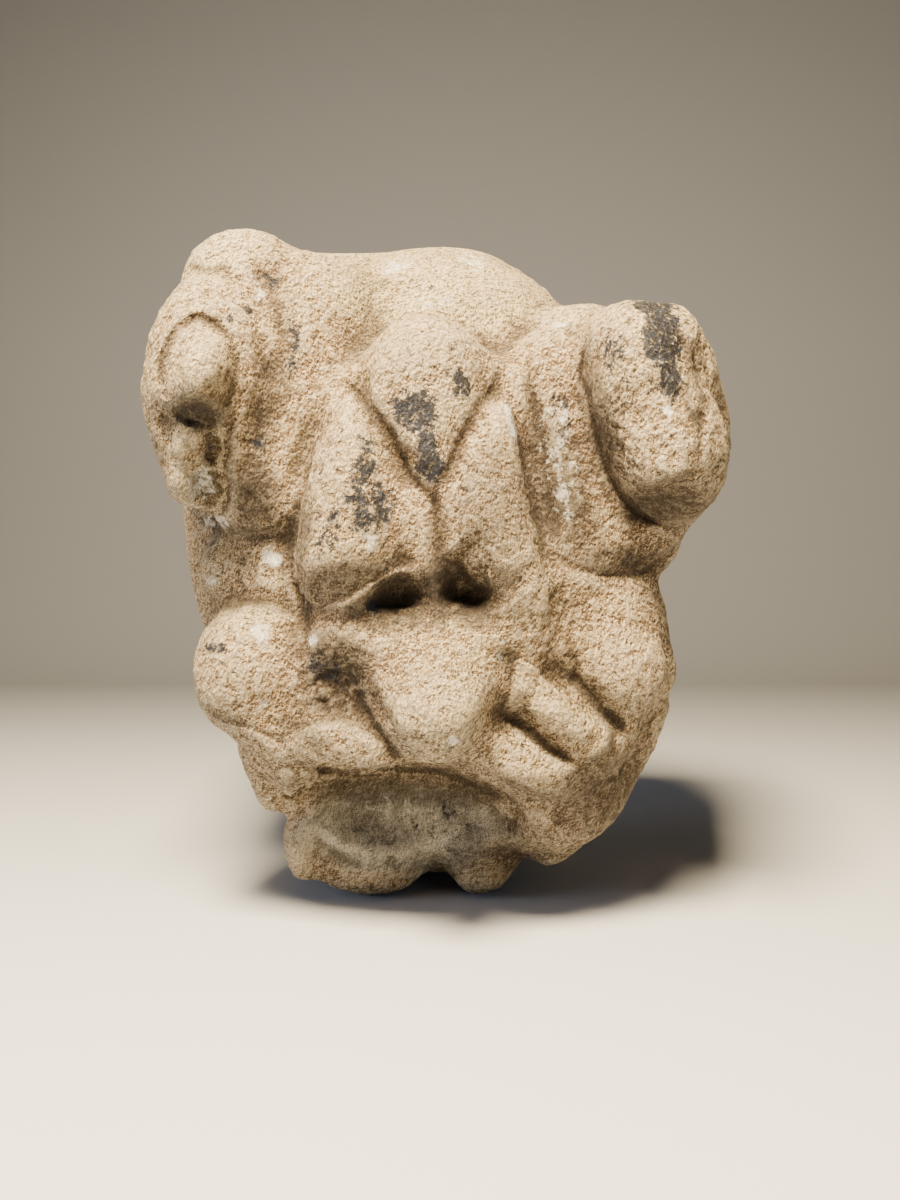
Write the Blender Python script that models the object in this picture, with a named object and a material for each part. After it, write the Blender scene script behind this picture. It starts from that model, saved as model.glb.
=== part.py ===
"""A sandstone corbel carved as a beast's head, modelled as one solid.

The corbel is one stone: a plain tail whose flat back meets the wall, and a head with bulging eyes, a wedge-shaped
boss on the brow, a forked nose and a blunt muzzle, over a hollow where the jaw has broken away.
The head looks along -Y. The origin is the middle of the back face, +X is the viewer's right and +Z is up.

The head is drawn in carved millimetres: x across, out from the plane where the tail ends, and z up.
One carved millimetre is a fixed share of HEAD_HEIGHT, so the head keeps its proportions at any height.
"""

import math

import bmesh
import bpy
import numpy as np
from mathutils import Matrix, Vector, noise

# Driving sizes, in metres
HEAD_HEIGHT = 0.287  # from the lowest broken edge to the top bed
BLOCK_WIDTH = 0.252
TAIL_DEPTH = 0.050  # from the wall face to where the carving starts

# One carved millimetre, in metres: the head is drawn 287 of them high, and its bed 141 above the origin
CARVED = HEAD_HEIGHT / 287
TOP_BED = 141 * CARVED

# How finely the stone is worked, in metres
CLAY_VOXEL = 0.0022
FILLET = 0.0035
SPARE = 5 * CLAY_VOXEL  # the block is first made this much too long behind
TRIANGLES = 9700

# The block's outline at the end of the tail, clockwise from the top left.
# x is a share of half the block's width, z is in carved millimetres.
BLOCK_OUTLINE = (
    (-0.88, 150),
    (0.12, 150),
    (0.26, 136),
    (0.37, 121),
    (0.74, 118),
    (0.88, 104),
    (0.98, 86),
    (1.02, 63),
    (0.98, 40),
    (0.88, 18),
    (0.78, -5),
    (0.74, -30),
    (0.72, -60),
    (0.62, -92),
    (0.44, -118),
    (0.20, -141),
    (0.08, -142),
    (-0.03, -136),
    (-0.20, -146),
    (-0.46, -144),
    (-0.58, -130),
    (-0.60, -100),
    (-0.74, -70),
    (-0.89, -32),
    (-0.96, -6),
    (-0.985, 30),
    (-0.98, 80),
    (-0.96, 120),
)
BLOCK_SHOULDER = 34  # carved mm from the end of the tail to where the block's edge turns in
BLOCK_NOSE = 30  # and from there to the block's front, which is smaller
BLOCK_NOSE_SHRINK = 0.84

# Egg-shaped masses: name, centre (x, out, z), half sizes (x, out, z), tilt in degrees, clockwise from the front
EGGS = (
    ("skull", (-7, 12, 58), (81, 90, 92), 0),
    ("face", (-6, 22, -20), (88, 84, 84), 0),
    ("upper jaw", (-4, 66, -46), (70, 50, 36), 0),
    ("left temple", (-66, 72, 68), (34, 46, 62), 8),
    ("left brow", (-60, 72, 104), (28, 34, 26), 0),
    ("left temple foot", (-71, 84, 34), (27, 32, 30), 0),
    ("left eyeball", (-92, 86, 72), (29, 50, 46), 6),
    ("left brow knuckle", (-84, 82, 118), (24, 29, 16), -8),
    ("left socket rim", (-104, 96, 31), (7, 20, 10), -20),
    ("left pupil", (-89, 130, 65), (11, 17, 16), 10),
    ("left face", (-56, 64, -2), (34, 42, 34), 0),
    ("right face", (42, 82, 4), (30, 34, 34), 0),
    ("brow boss", (-9, 104, 70), (26, 31, 25), 0),
    ("brow root", (-9, 90, 50), (34, 32, 36), 0),
    ("nose bridge", (-6, 96, 12), (30, 36, 38), 0),
    ("muzzle root", (-9, 91, -33), (35, 34, 24), 0),
    ("muzzle tip", (-5, 110, -55), (23, 34, 21), 0),
    ("left cheek", (-78, 82, -43), (26, 34, 29), 0),
    ("left cheek foot", (-66, 82, -62), (26, 30, 17), 15),
    ("left cheek hollow", (-46, 84, -46), (28, 30, 28), 0),
    ("right cheek base", (52, 76, -26), (38, 36, 34), 0),
    ("right lip base", (40, 84, -66), (38, 34, 26), -10),
    ("right brow", (54, 62, 86), (30, 42, 24), 0),
    ("right socket", (82, 62, 58), (35, 50, 46), -10),
    ("right eyeball top", (70, 102, 67), (24, 42, 34), -9),
    ("right eyeball foot", (81, 103, 44), (24, 43, 31), -14),
    ("right eye shoulder", (84, 98, 84), (14, 32, 16), 0),
    ("right eye corner", (92, 88, 72), (15, 30, 25), -8),
    ("right eye heel", (96, 90, 42), (12, 30, 20), -16),
    ("right jaw", (42, 56, -88), (36, 36, 34), 0),
    ("left lobe root", (-44, 106, 60), (14, 12, 15), 10),
    ("right lobe root", (24, 106, 63), (10, 12, 16), -8),
    ("right cheek ball", (64, 101, -41), (21, 16, 20), 0),
    ("left neck", (-84, 64, 0), (22, 24, 18), 0),
    ("lower jaw", (-8, 10, -106), (64, 38, 36), 0),
    ("left jaw stump", (-64, 44, -122), (10, 18, 17), 0),
    ("left chin stump", (-37, 38, -133), (25, 18, 13), 4),
    ("right chin stump", (14, 38, -133), (14, 18, 13), -10),
)

# Rolls: name, then keys of (x, out, z, radius) along the roll
ROLLS = (
    ("boss wedge", ((-8, 114, 64, 20), (-7, 124, 46, 12), (-6.5, 131, 29, 5))),
    ("left nose lobe", ((-30, 120, 55, 9), (-33, 121, 44, 14), (-37, 119, 22, 19), (-35, 115, 2, 24))),
    ("left nose wing", ((-20, 119, 16, 15), (-17, 120, 4, 13))),
    ("right nose lobe", ((14, 122, 52, 8), (14, 122, 38, 13), (13, 121, 22, 17), (19, 119, 0, 17), (27, 118, -16, 10), (30, 112, -34, 8))),
    ("nose septum", ((-3, 119, 2, 5), (-4, 113, -22, 6))),
    ("lip plane", ((-40, 104, -29, 16), (-24, 111, -32, 17), (8, 112, -34, 17))),
    ("muzzle", ((-24, 114, -42, 14), (-8, 120, -42, 15), (9, 116, -42, 15))),
    ("left lip", ((-62, 100, -71, 9), (-45, 110, -66, 10), (-24, 115, -71, 9))),
    ("left lip corner", ((-74, 84, -76, 9), (-60, 94, -80, 8))),
    ("left lip underside", ((-60, 84, -92, 7), (-67, 76, -86, 7))),
    ("left edge knuckle", ((-78, 62, -76, 13), (-77, 60, -90, 10), (-76, 60, -99, 7))),
    ("right cheek", ((44, 96, -22, 16), (58, 92, -32, 20), (70, 80, -42, 22))),
    ("right jaw band", ((78, 68, -58, 15), (70, 62, -84, 13), (58, 54, -105, 12), (44, 48, -119, 12))),
    ("right upper lip", ((25, 108, -45, 12), (38, 107, -55, 13), (51, 102, -65, 12))),
    ("right lower lip", ((15, 110, -68, 11), (30, 108, -76, 11), (45, 98, -82, 11))),
    ("right lip corner", ((46, 84, -92, 11), (58, 76, -88, 11))),
    ("right lip knuckle", ((22, 80, -95, 6), (28, 76, -99, 6))),
    ("right jaw knuckle", ((38, 66, -107, 10), (46, 60, -112, 9))),
    ("right eye band", ((36, 98, 78, 14), (37, 100, 53, 16), (43.5, 99, 27, 17), (60, 94, 12, 17), (80, 84, 12, 15))),
)

# Hollows, cut out of the masses: the same as the eggs
HOLLOWS = (
    ("left nostril", (-19, 134, -13), (12, 26, 8.5), -22),
    ("right nostril", (7, 134, -10), (9, 28, 12), -28),
    ("mouth", (-18, 83, -104), (50, 40, 24), 3),
    ("behind the left cheek", (-92, 120, -4), (24, 36, 9), -14),
    ("left eye channel", (-86, 134, 36), (6.5, 24, 18), 8),
    ("left eye hollow", (-108, 128, 50), (7, 12, 9), -10),
    ("left muzzle pit", (-44, 124, -44), (11, 20, 8), -25),
    ("under the right eye", (104, 70, -12), (20, 60, 14), 30),
)

# Grooves, pressed into whatever faces the front: name, keys of (x, z), half width and depth
GROOVES = (
    ("boss left edge", ((-34, 66), (-32, 56), (-26, 48), (-19, 39), (-13, 31), (-8, 25)), 3.0, 5.0),
    ("boss right edge", ((17, 66), (11, 54), (3, 43), (-3, 31)), 4.5, 3.0),
    ("left nose lobe edge", ((-55, 34), (-60, 18), (-62, 4), (-60, -8)), 5.0, 3.0),
    ("right nose lobe edge", ((32, 40), (35, 20), (39, 4)), 5.0, 3.0),
    ("nose middle", ((-6, 24), (-4, 10), (-3, 0)), 3.0, 3.0),
    ("right cheek crease", ((38, -38), (49, -48), (62, -61)), 4.0, 7.0),
    ("right lip crease", ((18, -58), (27, -63), (40, -73)), 4.0, 5.0),
    ("right lip root", ((50, -76), (58, -66), (62, -58)), 3.5, 3.0),
    ("muzzle left crease", ((-34, -44), (-29, -56), (-20, -74)), 4.5, 4.0),
    ("muzzle right crease", ((20, -36), (19, -50), (12, -66)), 4.5, 3.0),
    ("left eyelid", ((-70, 99), (-66, 91), (-66, 82), (-68, 70)), 3.0, 3.0),
    ("over the left pupil", ((-84, 87), (-92, 82), (-99, 72)), 3.5, 3.0),
    ("right eye socket", ((50, 74), (47, 60), (52, 40), (62, 24), (72, 14)), 4.5, 4.0),
)

SANDSTONE = (0.46, 0.35, 0.245, 1.0)


def clear_scene():
    for old in list(bpy.data.objects):
        bpy.data.objects.remove(old, do_unlink=True)


def place(x, out, z):
    """A point of the head, drawn in carved millimetres, as metres in the corbel's own frame."""
    return Vector((x * CARVED, -TAIL_DEPTH - out * CARVED, z * CARVED))


def add_egg(bm, centre, half_sizes, tilt):
    turned = Matrix.Rotation(math.radians(tilt), 4, "Y")
    sized = Matrix.Diagonal((*(size * CARVED for size in half_sizes), 1))
    bmesh.ops.create_icosphere(
        bm, subdivisions=4, radius=1, matrix=Matrix.Translation(place(*centre)) @ turned @ sized
    )


def add_roll(bm, keys):
    """A row of overlapping balls, whose place and size run smoothly from each key to the next."""
    for start, end in zip(keys, keys[1:]):
        a, b = np.array(start, float), np.array(end, float)
        gap = 0.35 * min(a[3], b[3])
        steps = max(2, math.ceil(np.linalg.norm(b[:3] - a[:3]) / gap))
        for share in np.linspace(0, 1, steps + 1):
            x, out, z, radius = a + (b - a) * share
            bmesh.ops.create_icosphere(
                bm, subdivisions=3, radius=radius * CARVED, matrix=Matrix.Translation(place(x, out, z))
            )


def add_block(bm):
    """The plain block behind the head: its outline carried from behind the wall face to its shoulder, then in."""
    half = BLOCK_WIDTH / 2
    ring = [bm.verts.new((x * half, SPARE, z * CARVED)) for x, z in BLOCK_OUTLINE]
    face = bm.faces.new(ring)
    depths = (
        (TAIL_DEPTH + SPARE, 1.0),
        (BLOCK_SHOULDER * CARVED, 0.98),
        (BLOCK_NOSE * CARVED, BLOCK_NOSE_SHRINK),
    )
    back = bmesh.ops.duplicate(bm, geom=[face])["geom"]
    for depth, shrink in depths:
        grown = bmesh.ops.extrude_face_region(bm, geom=[face])["geom"]
        bmesh.ops.delete(bm, geom=[face], context="FACES_ONLY")
        corners = [v for v in grown if isinstance(v, bmesh.types.BMVert)]
        face = next(f for f in grown if isinstance(f, bmesh.types.BMFace))
        bmesh.ops.translate(bm, verts=corners, vec=(0, -depth, 0))
        bmesh.ops.scale(bm, verts=corners, vec=(shrink, 1, shrink))
    corners = [v for v in back if isinstance(v, bmesh.types.BMVert)]
    bmesh.ops.remove_doubles(bm, verts=corners + ring, dist=1e-6)
    bmesh.ops.recalc_face_normals(bm, faces=bm.faces)


def fuse(name, bm):
    """One closed skin round all the overlapping masses in bm."""
    mesh = bpy.data.meshes.new(name)
    bm.to_mesh(mesh)
    bm.free()
    holder = bpy.data.objects.new(name, mesh)
    bpy.context.scene.collection.objects.link(holder)
    remesh = holder.modifiers.new("Fuse", "REMESH")
    remesh.mode = "VOXEL"
    remesh.voxel_size = CLAY_VOXEL
    return holder


def evaluated_mesh(holder, name):
    bpy.context.view_layer.update()
    graph = bpy.context.evaluated_depsgraph_get()
    mesh = bpy.data.meshes.new_from_object(holder.evaluated_get(graph))
    mesh.name = name
    return mesh


def swell(holder, distance):
    """Moves the skin out by this distance, or in, and makes it one clean skin again."""
    move = holder.modifiers.new("Swell", "DISPLACE")
    move.strength = distance
    move.mid_level = 0
    again = holder.modifiers.new("Clean", "REMESH")
    again.mode = "VOXEL"
    again.voxel_size = CLAY_VOXEL


def block_out():
    """The stone as roughed out: block, eggs and rolls in one skin, less the hollows."""
    masses = bmesh.new()
    add_block(masses)
    for _, centre, half_sizes, tilt in EGGS:
        add_egg(masses, centre, half_sizes, tilt)
    for _, keys in ROLLS:
        add_roll(masses, keys)
    stone = fuse("masses", masses)

    cuts = bmesh.new()
    for _, centre, half_sizes, tilt in HOLLOWS:
        add_egg(cuts, centre, half_sizes, tilt)
    cutter = fuse("hollows", cuts)
    cutter.hide_render = True
    cutter.display_type = "WIRE"

    cut = stone.modifiers.new("Hollow out", "BOOLEAN")
    cut.operation = "DIFFERENCE"
    cut.object = cutter
    swell(stone, FILLET)
    swell(stone, -FILLET)
    mesh = evaluated_mesh(stone, "roughed out")
    bpy.data.objects.remove(stone)
    bpy.data.objects.remove(cutter)
    return mesh


def smooth(bm, times):
    for _ in range(times):
        bmesh.ops.smooth_vert(bm, verts=bm.verts, factor=0.5, use_axis_x=True, use_axis_y=True, use_axis_z=True)


def distance_to_path(points, path):
    """How far each point (x, z) lies from the nearest stretch of the path."""
    nearest = np.full(len(points), np.inf)
    for start, end in zip(path, path[1:]):
        a, b = np.array(start, float), np.array(end, float)
        along = np.clip((points - a) @ (b - a) / np.dot(b - a, b - a), 0, 1)
        nearest = np.minimum(nearest, np.linalg.norm(points - a - along[:, None] * (b - a), axis=1))
    return nearest


def press_grooves(bm):
    """Presses each groove into the surfaces that face the front, deepest along its path."""
    bm.normal_update()
    places = np.array([v.co for v in bm.verts])
    normals = np.array([v.normal for v in bm.verts])
    drawn = places[:, [0, 2]] / CARVED
    facing = np.clip(-normals[:, 1] * 2, 0, 1)
    depth = np.zeros(len(places))
    for _, path, half_width, deep in GROOVES:
        near = np.clip(1 - distance_to_path(drawn, path) / (2 * half_width), 0, 1)
        depth = np.maximum(depth, deep * near * near * (3 - 2 * near))
    moved = places - normals * (depth * facing * CARVED)[:, None]
    for vert, co in zip(bm.verts, moved):
        vert.co = co


def roughen(bm):
    """Gentle unevenness of hewn and weathered stone: broad on the block, a little on the carving."""
    bm.normal_update()
    wave = 45 * CARVED
    for vert in bm.verts:
        behind = min(1.0, max(0.0, (vert.co.y + TAIL_DEPTH + 40 * CARVED) / (30 * CARVED)))
        lift = noise.noise(vert.co / wave) * 2.6 * behind + noise.noise(vert.co / wave * 2.7) * 0.7
        vert.co += vert.normal * (lift * CARVED)


def cut_flat(bm, point, normal):
    """Cuts the stone off flat, keeps what lies behind the normal and closes it with one face."""
    geom = bm.verts[:] + bm.edges[:] + bm.faces[:]
    made = bmesh.ops.bisect_plane(bm, geom=geom, dist=1e-5, plane_co=point, plane_no=normal, clear_outer=True)
    rim = [e for e in made["geom_cut"] if isinstance(e, bmesh.types.BMEdge)]
    bmesh.ops.edgeloop_fill(bm, edges=rim)


def make_corbel():
    bm = bmesh.new()
    bm.from_mesh(block_out())
    smooth(bm, 4)
    press_grooves(bm)
    roughen(bm)
    smooth(bm, 2)
    mesh = bpy.data.meshes.new("carved_corbel")
    bm.to_mesh(mesh)
    bm.free()

    corbel = bpy.data.objects.new("carved_corbel", mesh)
    bpy.context.scene.collection.objects.link(corbel)
    fewer = corbel.modifiers.new("Fewer faces", "DECIMATE")
    fewer.ratio = TRIANGLES / sum(len(p.vertices) - 2 for p in mesh.polygons)
    reduced = evaluated_mesh(corbel, "carved_corbel")
    corbel.modifiers.remove(fewer)

    bm = bmesh.new()
    bm.from_mesh(reduced)
    cut_flat(bm, (0, 0, 0), (0, 1, 0))
    cut_flat(bm, (0, 0, TOP_BED), (0, 0, 1))
    bmesh.ops.triangulate(bm, faces=bm.faces)
    bmesh.ops.recalc_face_normals(bm, faces=bm.faces)
    bm.to_mesh(mesh)
    bm.free()
    mesh.shade_smooth()
    mesh.set_sharp_from_angle(angle=math.radians(40))
    return corbel


def sandstone():
    material = bpy.data.materials.new("weathered sandstone")
    material.use_nodes = True
    shader = material.node_tree.nodes["Principled BSDF"]
    shader.inputs["Base Color"].default_value = SANDSTONE
    shader.inputs["Roughness"].default_value = 0.92
    shader.inputs["Metallic"].default_value = 0.0
    return material


def main():
    clear_scene()
    corbel = make_corbel()
    corbel.data.materials.append(sandstone())


main()
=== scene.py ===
"""The sandstone corbel as it looks: a beast's head, pecked with a mason's point and worn by the weather.

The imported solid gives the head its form. Here its skin is made fine, the carver's edges and creases are
cut into it, and the hewn, pecked and broken surface is worked over the whole stone. The finish is one
procedural sandstone. Creases, ridges and stains are placed in pixels of the 900 x 1200 photograph, on the
skin that faces it.
"""

import math

import bmesh
import bpy
import numpy as np
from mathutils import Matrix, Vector, noise


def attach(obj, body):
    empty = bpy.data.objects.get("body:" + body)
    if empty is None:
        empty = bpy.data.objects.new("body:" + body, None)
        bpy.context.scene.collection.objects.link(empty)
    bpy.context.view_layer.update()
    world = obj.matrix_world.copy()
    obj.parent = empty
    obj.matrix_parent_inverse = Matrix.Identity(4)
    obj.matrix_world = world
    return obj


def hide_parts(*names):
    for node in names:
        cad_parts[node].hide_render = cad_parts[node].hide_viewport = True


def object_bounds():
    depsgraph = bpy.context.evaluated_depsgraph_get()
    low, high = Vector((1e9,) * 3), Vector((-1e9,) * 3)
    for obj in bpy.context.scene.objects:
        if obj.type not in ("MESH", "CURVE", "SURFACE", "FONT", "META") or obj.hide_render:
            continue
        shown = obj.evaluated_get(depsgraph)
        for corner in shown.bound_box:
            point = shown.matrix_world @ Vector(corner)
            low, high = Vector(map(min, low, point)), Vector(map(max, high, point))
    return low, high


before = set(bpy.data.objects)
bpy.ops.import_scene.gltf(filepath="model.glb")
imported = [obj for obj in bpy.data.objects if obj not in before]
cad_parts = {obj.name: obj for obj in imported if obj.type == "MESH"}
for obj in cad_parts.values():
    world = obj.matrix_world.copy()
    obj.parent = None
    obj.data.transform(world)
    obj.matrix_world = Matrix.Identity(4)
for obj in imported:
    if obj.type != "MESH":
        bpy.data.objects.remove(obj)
solid_box = [list(corner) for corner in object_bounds()]

MM = 0.001

# The photograph: its size and focal length in pixels, and the place of its camera, which looks along +Y
PHOTO_WIDE, PHOTO_HIGH = 900, 1200
FOCAL = 1050
EYE = (0.0, -0.560, -0.014)

# How finely the skin is worked
SKIN_VOXEL = 1.25 * MM
SKIN_TRIANGLES = 194000

# The worked surface: how far apart its waves are, and how high they stand in mm. The marks of the point are
# drawn out upwards.
HEWN_SIZE, HEWN_LIFT = 26 * MM, 0.8
LUMP_SIZE, LUMP_LIFT = 10 * MM, 0.40
PECK_SIZE, PECK_LIFT = 4.4 * MM, 0.45
MARK_SIZE, MARK_LIFT = 2.8 * MM, 0.45
MARK_STRETCH = (1.0, 1.0, 0.75)

# The flakes of broken stone: how far apart they are, how high they stand in mm, and where they turn to pits
BIG_FLAKE, BIG_FLAKE_LIFT, BIG_FLAKE_TURN = 9 * MM, 1.5, 0.35
SMALL_FLAKE, SMALL_FLAKE_LIFT, SMALL_FLAKE_TURN = 4.5 * MM, 1.0, 0.3

# Creases cut into the stone: name, path in pixels, half width in pixels, depth in mm
CREASES = (
    ("round the pupil", ((163, 388), (160, 362), (169, 342), (181, 326), (198, 317), (215, 324),
                         (230, 340)), 5, 2.6),
    ("right of the pupil", ((230, 340), (236, 365), (232, 392), (221, 410)), 7, 2.0),
    ("between the lobes", ((434, 492), (437, 520), (440, 556)), 6, 1.4),
    ("right eye valley", ((590, 325), (582, 375), (591, 402), (597, 435), (607, 470), (619, 492),
                          (637, 512), (667, 526), (697, 521)), 4, 2.2),
    ("right eye side", ((690, 372), (703, 400), (701, 435), (694, 465)), 6, 1.6),
    ("cheek groove", ((553, 664), (565, 674), (580, 686), (598, 709), (612, 718), (626, 738)), 6, 2.0),
    ("lip groove", ((498, 712), (513, 720), (526, 729), (548, 749), (577, 765)), 5, 2.0),
    ("beside the jaw", ((616, 742), (603, 765), (588, 782), (570, 803), (552, 823)), 8, 2.5),
    ("chin crease", ((314, 839), (340, 855), (364, 867)), 9, 1.8),
    ("beside the muzzle", ((364, 702), (378, 735), (398, 762)), 10, 2.0),
    ("left eye foot", ((279, 375), (270, 405), (258, 430)), 12, 1.2),
    ("beside the eye band", ((529, 382), (539, 415), (547, 455), (551, 500), (557, 540)), 6, 2.4),
    ("lobe to cheek", ((292, 560), (300, 590), (305, 620), (309, 650)), 6, 2.0),
)

# Edges: name, path in pixels, side that stands higher, how far the higher side reaches back in pixels,
# height in mm. Side 1 is on the right hand going along the path, as the photograph shows it.
EDGES = (
    ("boss left edge", ((348, 382), (360, 391), (380, 415), (395, 433), (401, 452), (412, 475),
                        (428, 491)), -1, 26, 2.6),
    ("boss right edge", ((500, 365), (492, 385), (475, 405), (457, 440), (445, 470),
                         (436, 490)), 1, 26, 1.8),
    ("knuckle", ((188, 264), (207, 270), (228, 267)), -1, 16, 1.8),
    ("channel right rim", ((238, 418), (229, 440), (229, 468), (232, 490), (224, 516)), -1, 15, 3.0),
    ("left eye lower edge", ((188, 508), (205, 519), (227, 526), (250, 536), (281, 533)), -1, 18, 3.0),
    ("left lobe rim", ((287, 590), (305, 603), (325, 609), (348, 603), (372, 588), (398, 573),
                       (425, 566)), -1, 16, 1.1),
    ("right nostril rim", ((446, 556), (470, 577), (500, 614)), -1, 14, 1.8),
    ("right lobe edge", ((508, 400), (517, 442), (530, 485), (539, 522), (546, 562)), 1, 22, 1.2),
    ("egg ledge", ((632, 487), (650, 486), (675, 479), (698, 470)), -1, 18, 3.0),
    ("egg broken side", ((680, 325), (688, 350), (694, 372), (686, 398), (694, 425)), -1, 22, 3.2),
    ("right eye edge", ((592, 325), (584, 375), (592, 402), (598, 435), (608, 470), (620, 491),
                        (638, 511), (668, 525), (697, 520)), -1, 22, 2.6),
    ("eye band lower edge", ((553, 548), (570, 563), (600, 573), (637, 573), (662, 558),
                             (681, 541)), -1, 22, 3.4),
    ("left cheek top", ((208, 620), (219, 608), (250, 603), (275, 606), (298, 619)), 1, 24, 3.0),
    ("left cheek foot", ((205, 707), (220, 717), (253, 726), (281, 740), (292, 752)), -1, 18, 2.0),
    ("left lip top", ((300, 730), (322, 721), (342, 719), (370, 731), (392, 748)), 1, 20, 2.6),
    ("lip edge", ((281, 760), (314, 768), (348, 772), (400, 768), (437, 770), (475, 783),
                  (500, 793)), -1, 16, 2.0),
    ("muzzle left edge", ((372, 664), (363, 682), (363, 700), (375, 723), (391, 742),
                          (403, 760)), -1, 24, 3.0),
    ("muzzle right edge", ((514, 650), (508, 690), (497, 716)), 1, 20, 1.4),
    ("roll end", ((597, 711), (612, 730), (611, 750), (586, 765)), 1, 16, 3.0),
    ("third roll edge", ((497, 776), (520, 787), (540, 796), (572, 796)), -1, 16, 2.5),
)

# Forms that round under towards an edge: name, path in pixels, side that rounds, how far back it starts in
# pixels, depth in mm at the edge
ROUNDED = (
    ("left lobe foot", ((290, 588), (305, 600), (325, 606), (348, 600), (372, 585), (398, 570),
                        (428, 562)), -1, 36, 5.5),
    ("right lobe foot", ((446, 556), (470, 577), (500, 614)), -1, 36, 5.5),
    ("right lobe side", ((512, 420), (530, 485), (540, 522), (546, 575), (540, 610)), 1, 26, 3.0),
    ("eye band foot", ((553, 548), (570, 563), (600, 573), (637, 573), (662, 558),
                       (681, 541)), -1, 30, 4.5),
    ("right eye flank", ((592, 325), (584, 375), (592, 402), (598, 435), (608, 470), (620, 491),
                         (638, 511), (668, 525), (697, 520)), -1, 28, 3.0),
    ("left eye foot", ((188, 508), (205, 519), (227, 526), (250, 536), (281, 533)), -1, 30, 3.5),
    ("left cheek foot", ((205, 707), (220, 717), (253, 726), (281, 740), (292, 752)), -1, 30, 3.5),
    ("lip foot", ((281, 762), (314, 770), (348, 774), (400, 770), (437, 772), (475, 785),
                  (500, 795)), -1, 22, 3.5),
    ("muzzle side", ((514, 650), (508, 690), (497, 716)), 1, 24, 2.5),
    ("roll foot", ((498, 714), (526, 731), (548, 751), (577, 767)), -1, 20, 2.5),
    ("right cheek foot", ((551, 660), (580, 686), (612, 718), (626, 738)), -1, 24, 2.5),
)

# Ridges left standing: name, path in pixels, half width in pixels, height in mm
RIDGES = (
    ("eyelid rim", ((226, 262), (244, 272), (257, 290), (267, 315), (271, 340), (272, 362)), 8, 2.6),
    ("left brow fold", ((305, 296), (307, 325), (300, 345), (290, 364), (272, 405)), 8, 1.1),
    ("left lobe crest", ((340, 392), (327, 415), (312, 450), (300, 484), (289, 512)), 7, 1.4),
    ("left channel rim", ((184, 440), (178, 460), (178, 480), (190, 505)), 9, 3.0),
    ("septum", ((434, 562), (435, 590), (437, 612), (437, 632)), 7, 3.2),
    ("cheek stub", ((279, 770), (284, 790), (293, 812)), 6, 2.5),
    ("fold beside the muzzle", ((547, 640), (528, 668), (512, 700)), 12, 1.6),
)

# Lumps and pits: name, centre in pixels, half sizes in pixels, turn in degrees, height in mm (a pit's is
# below nought)
LUMPS = (
    ("pupil", (197, 364), (34, 46), 8, 4.5),
    ("under the pupil", (196, 414), (28, 16), 10, -9.0),
    ("channel", (211, 443), (15, 26), 0, -7.0),
    ("channel floor", (206, 478), (20, 34), 0, -4.5),
    ("left hollow", (168, 427), (15, 24), -12, -2.0),
    ("left nostril", (396, 592), (32, 16), -22, -2.0),
    ("nostril corner", (374, 603), (11, 8), 0, -2.0),
    ("right nostril", (464, 584), (16, 26), -28, -1.5),
    ("egg under the ledge", (666, 506), (52, 24), -5, -5.5),
    ("egg notch", (700, 371), (10, 11), 0, -3.0),
    ("egg facet", (692, 392), (16, 34), 0, 2.0),
    ("muzzle pit", (333, 682), (38, 34), 15, -2.0),
    ("lid corner", (243, 270), (17, 22), -25, 1.5),
    ("muzzle left shoulder", (345, 645), (58, 28), 5, 3.5),
    ("nostril floor", (398, 608), (40, 14), -4, 0.5),
    ("right nostril floor", (470, 603), (26, 16), 20, -4.5),
    ("right nostril roof", (477, 574), (22, 12), 42, 8.0),
    ("beside the septum", (451, 594), (9, 17), 0, -5.0),
    ("muzzle front", (440, 712), (66, 60), 0, 1.5),
    ("first lip knob", (507, 802), (16, 17), 0, 3.0),
    ("second lip knob", (540, 818), (16, 12), 20, 3.0),
    ("first lip cavity", (513, 826), (9, 9), 0, -1.8),
    ("second lip cavity", (531, 797), (8, 8), 0, -1.8),
    ("third lip cavity", (612, 777), (5, 5), 0, -2.5),
    ("left stub", (286, 777), (12, 12), 0, 4.0),
    ("left rim lobe", (297, 850), (22, 38), 10, 3.0),
    ("chin hole", (392, 861), (8, 8), 0, -2.0),
    ("egg front", (652, 450), (46, 44), 0, 2.5),
    ("roll two", (560, 722), (42, 18), 36, 2.5),
    ("muzzle pit floor", (336, 680), (34, 28), 0, 3.0),
    ("cheek groove head", (554, 664), (24, 18), 30, 3.5),
)

# Places where the solid's steps are eased into slopes: name, centre in pixels, half sizes in pixels, turn
# in degrees
SOFTENED = (
    ("cheek groove top", (546, 664), (34, 30), 30),
    ("muzzle pit", (338, 670), (48, 30), 0),
    ("left nostril foot", (396, 622), (54, 17), -4),
    ("right nostril foot", (474, 622), (34, 15), 8),
    ("right nostril roof", (480, 563), (20, 15), 42),
)

# Tops bleached by the rain, given in the same way
BLEACHED = (
    ("crown", (440, 280), (140, 70), 0),
    ("top lobe", (212, 246), (74, 34), -8),
    ("cheek top", (252, 612), (50, 18), 0),
    ("right brow", (560, 322), (44, 20), 0),
)

# Broken and chipped places: name, centre in pixels, half sizes in pixels, turn in degrees, share of the
# flakes' full height
CHIPPED = (
    ("end of the right eye", (660, 430), (58, 100), 12, 1.0),
    ("muzzle pit", (332, 680), (38, 34), 15, 1.6),
    ("left eye channel", (205, 470), (38, 60), 0, 1.2),
    ("beside the pupil", (168, 330), (24, 26), 0, 1.0),
    ("broken end of the lip", (560, 815), (50, 40), 0, 0.8),
    ("under the left eye", (260, 570), (40, 26), 0, 1.0),
)

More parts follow.
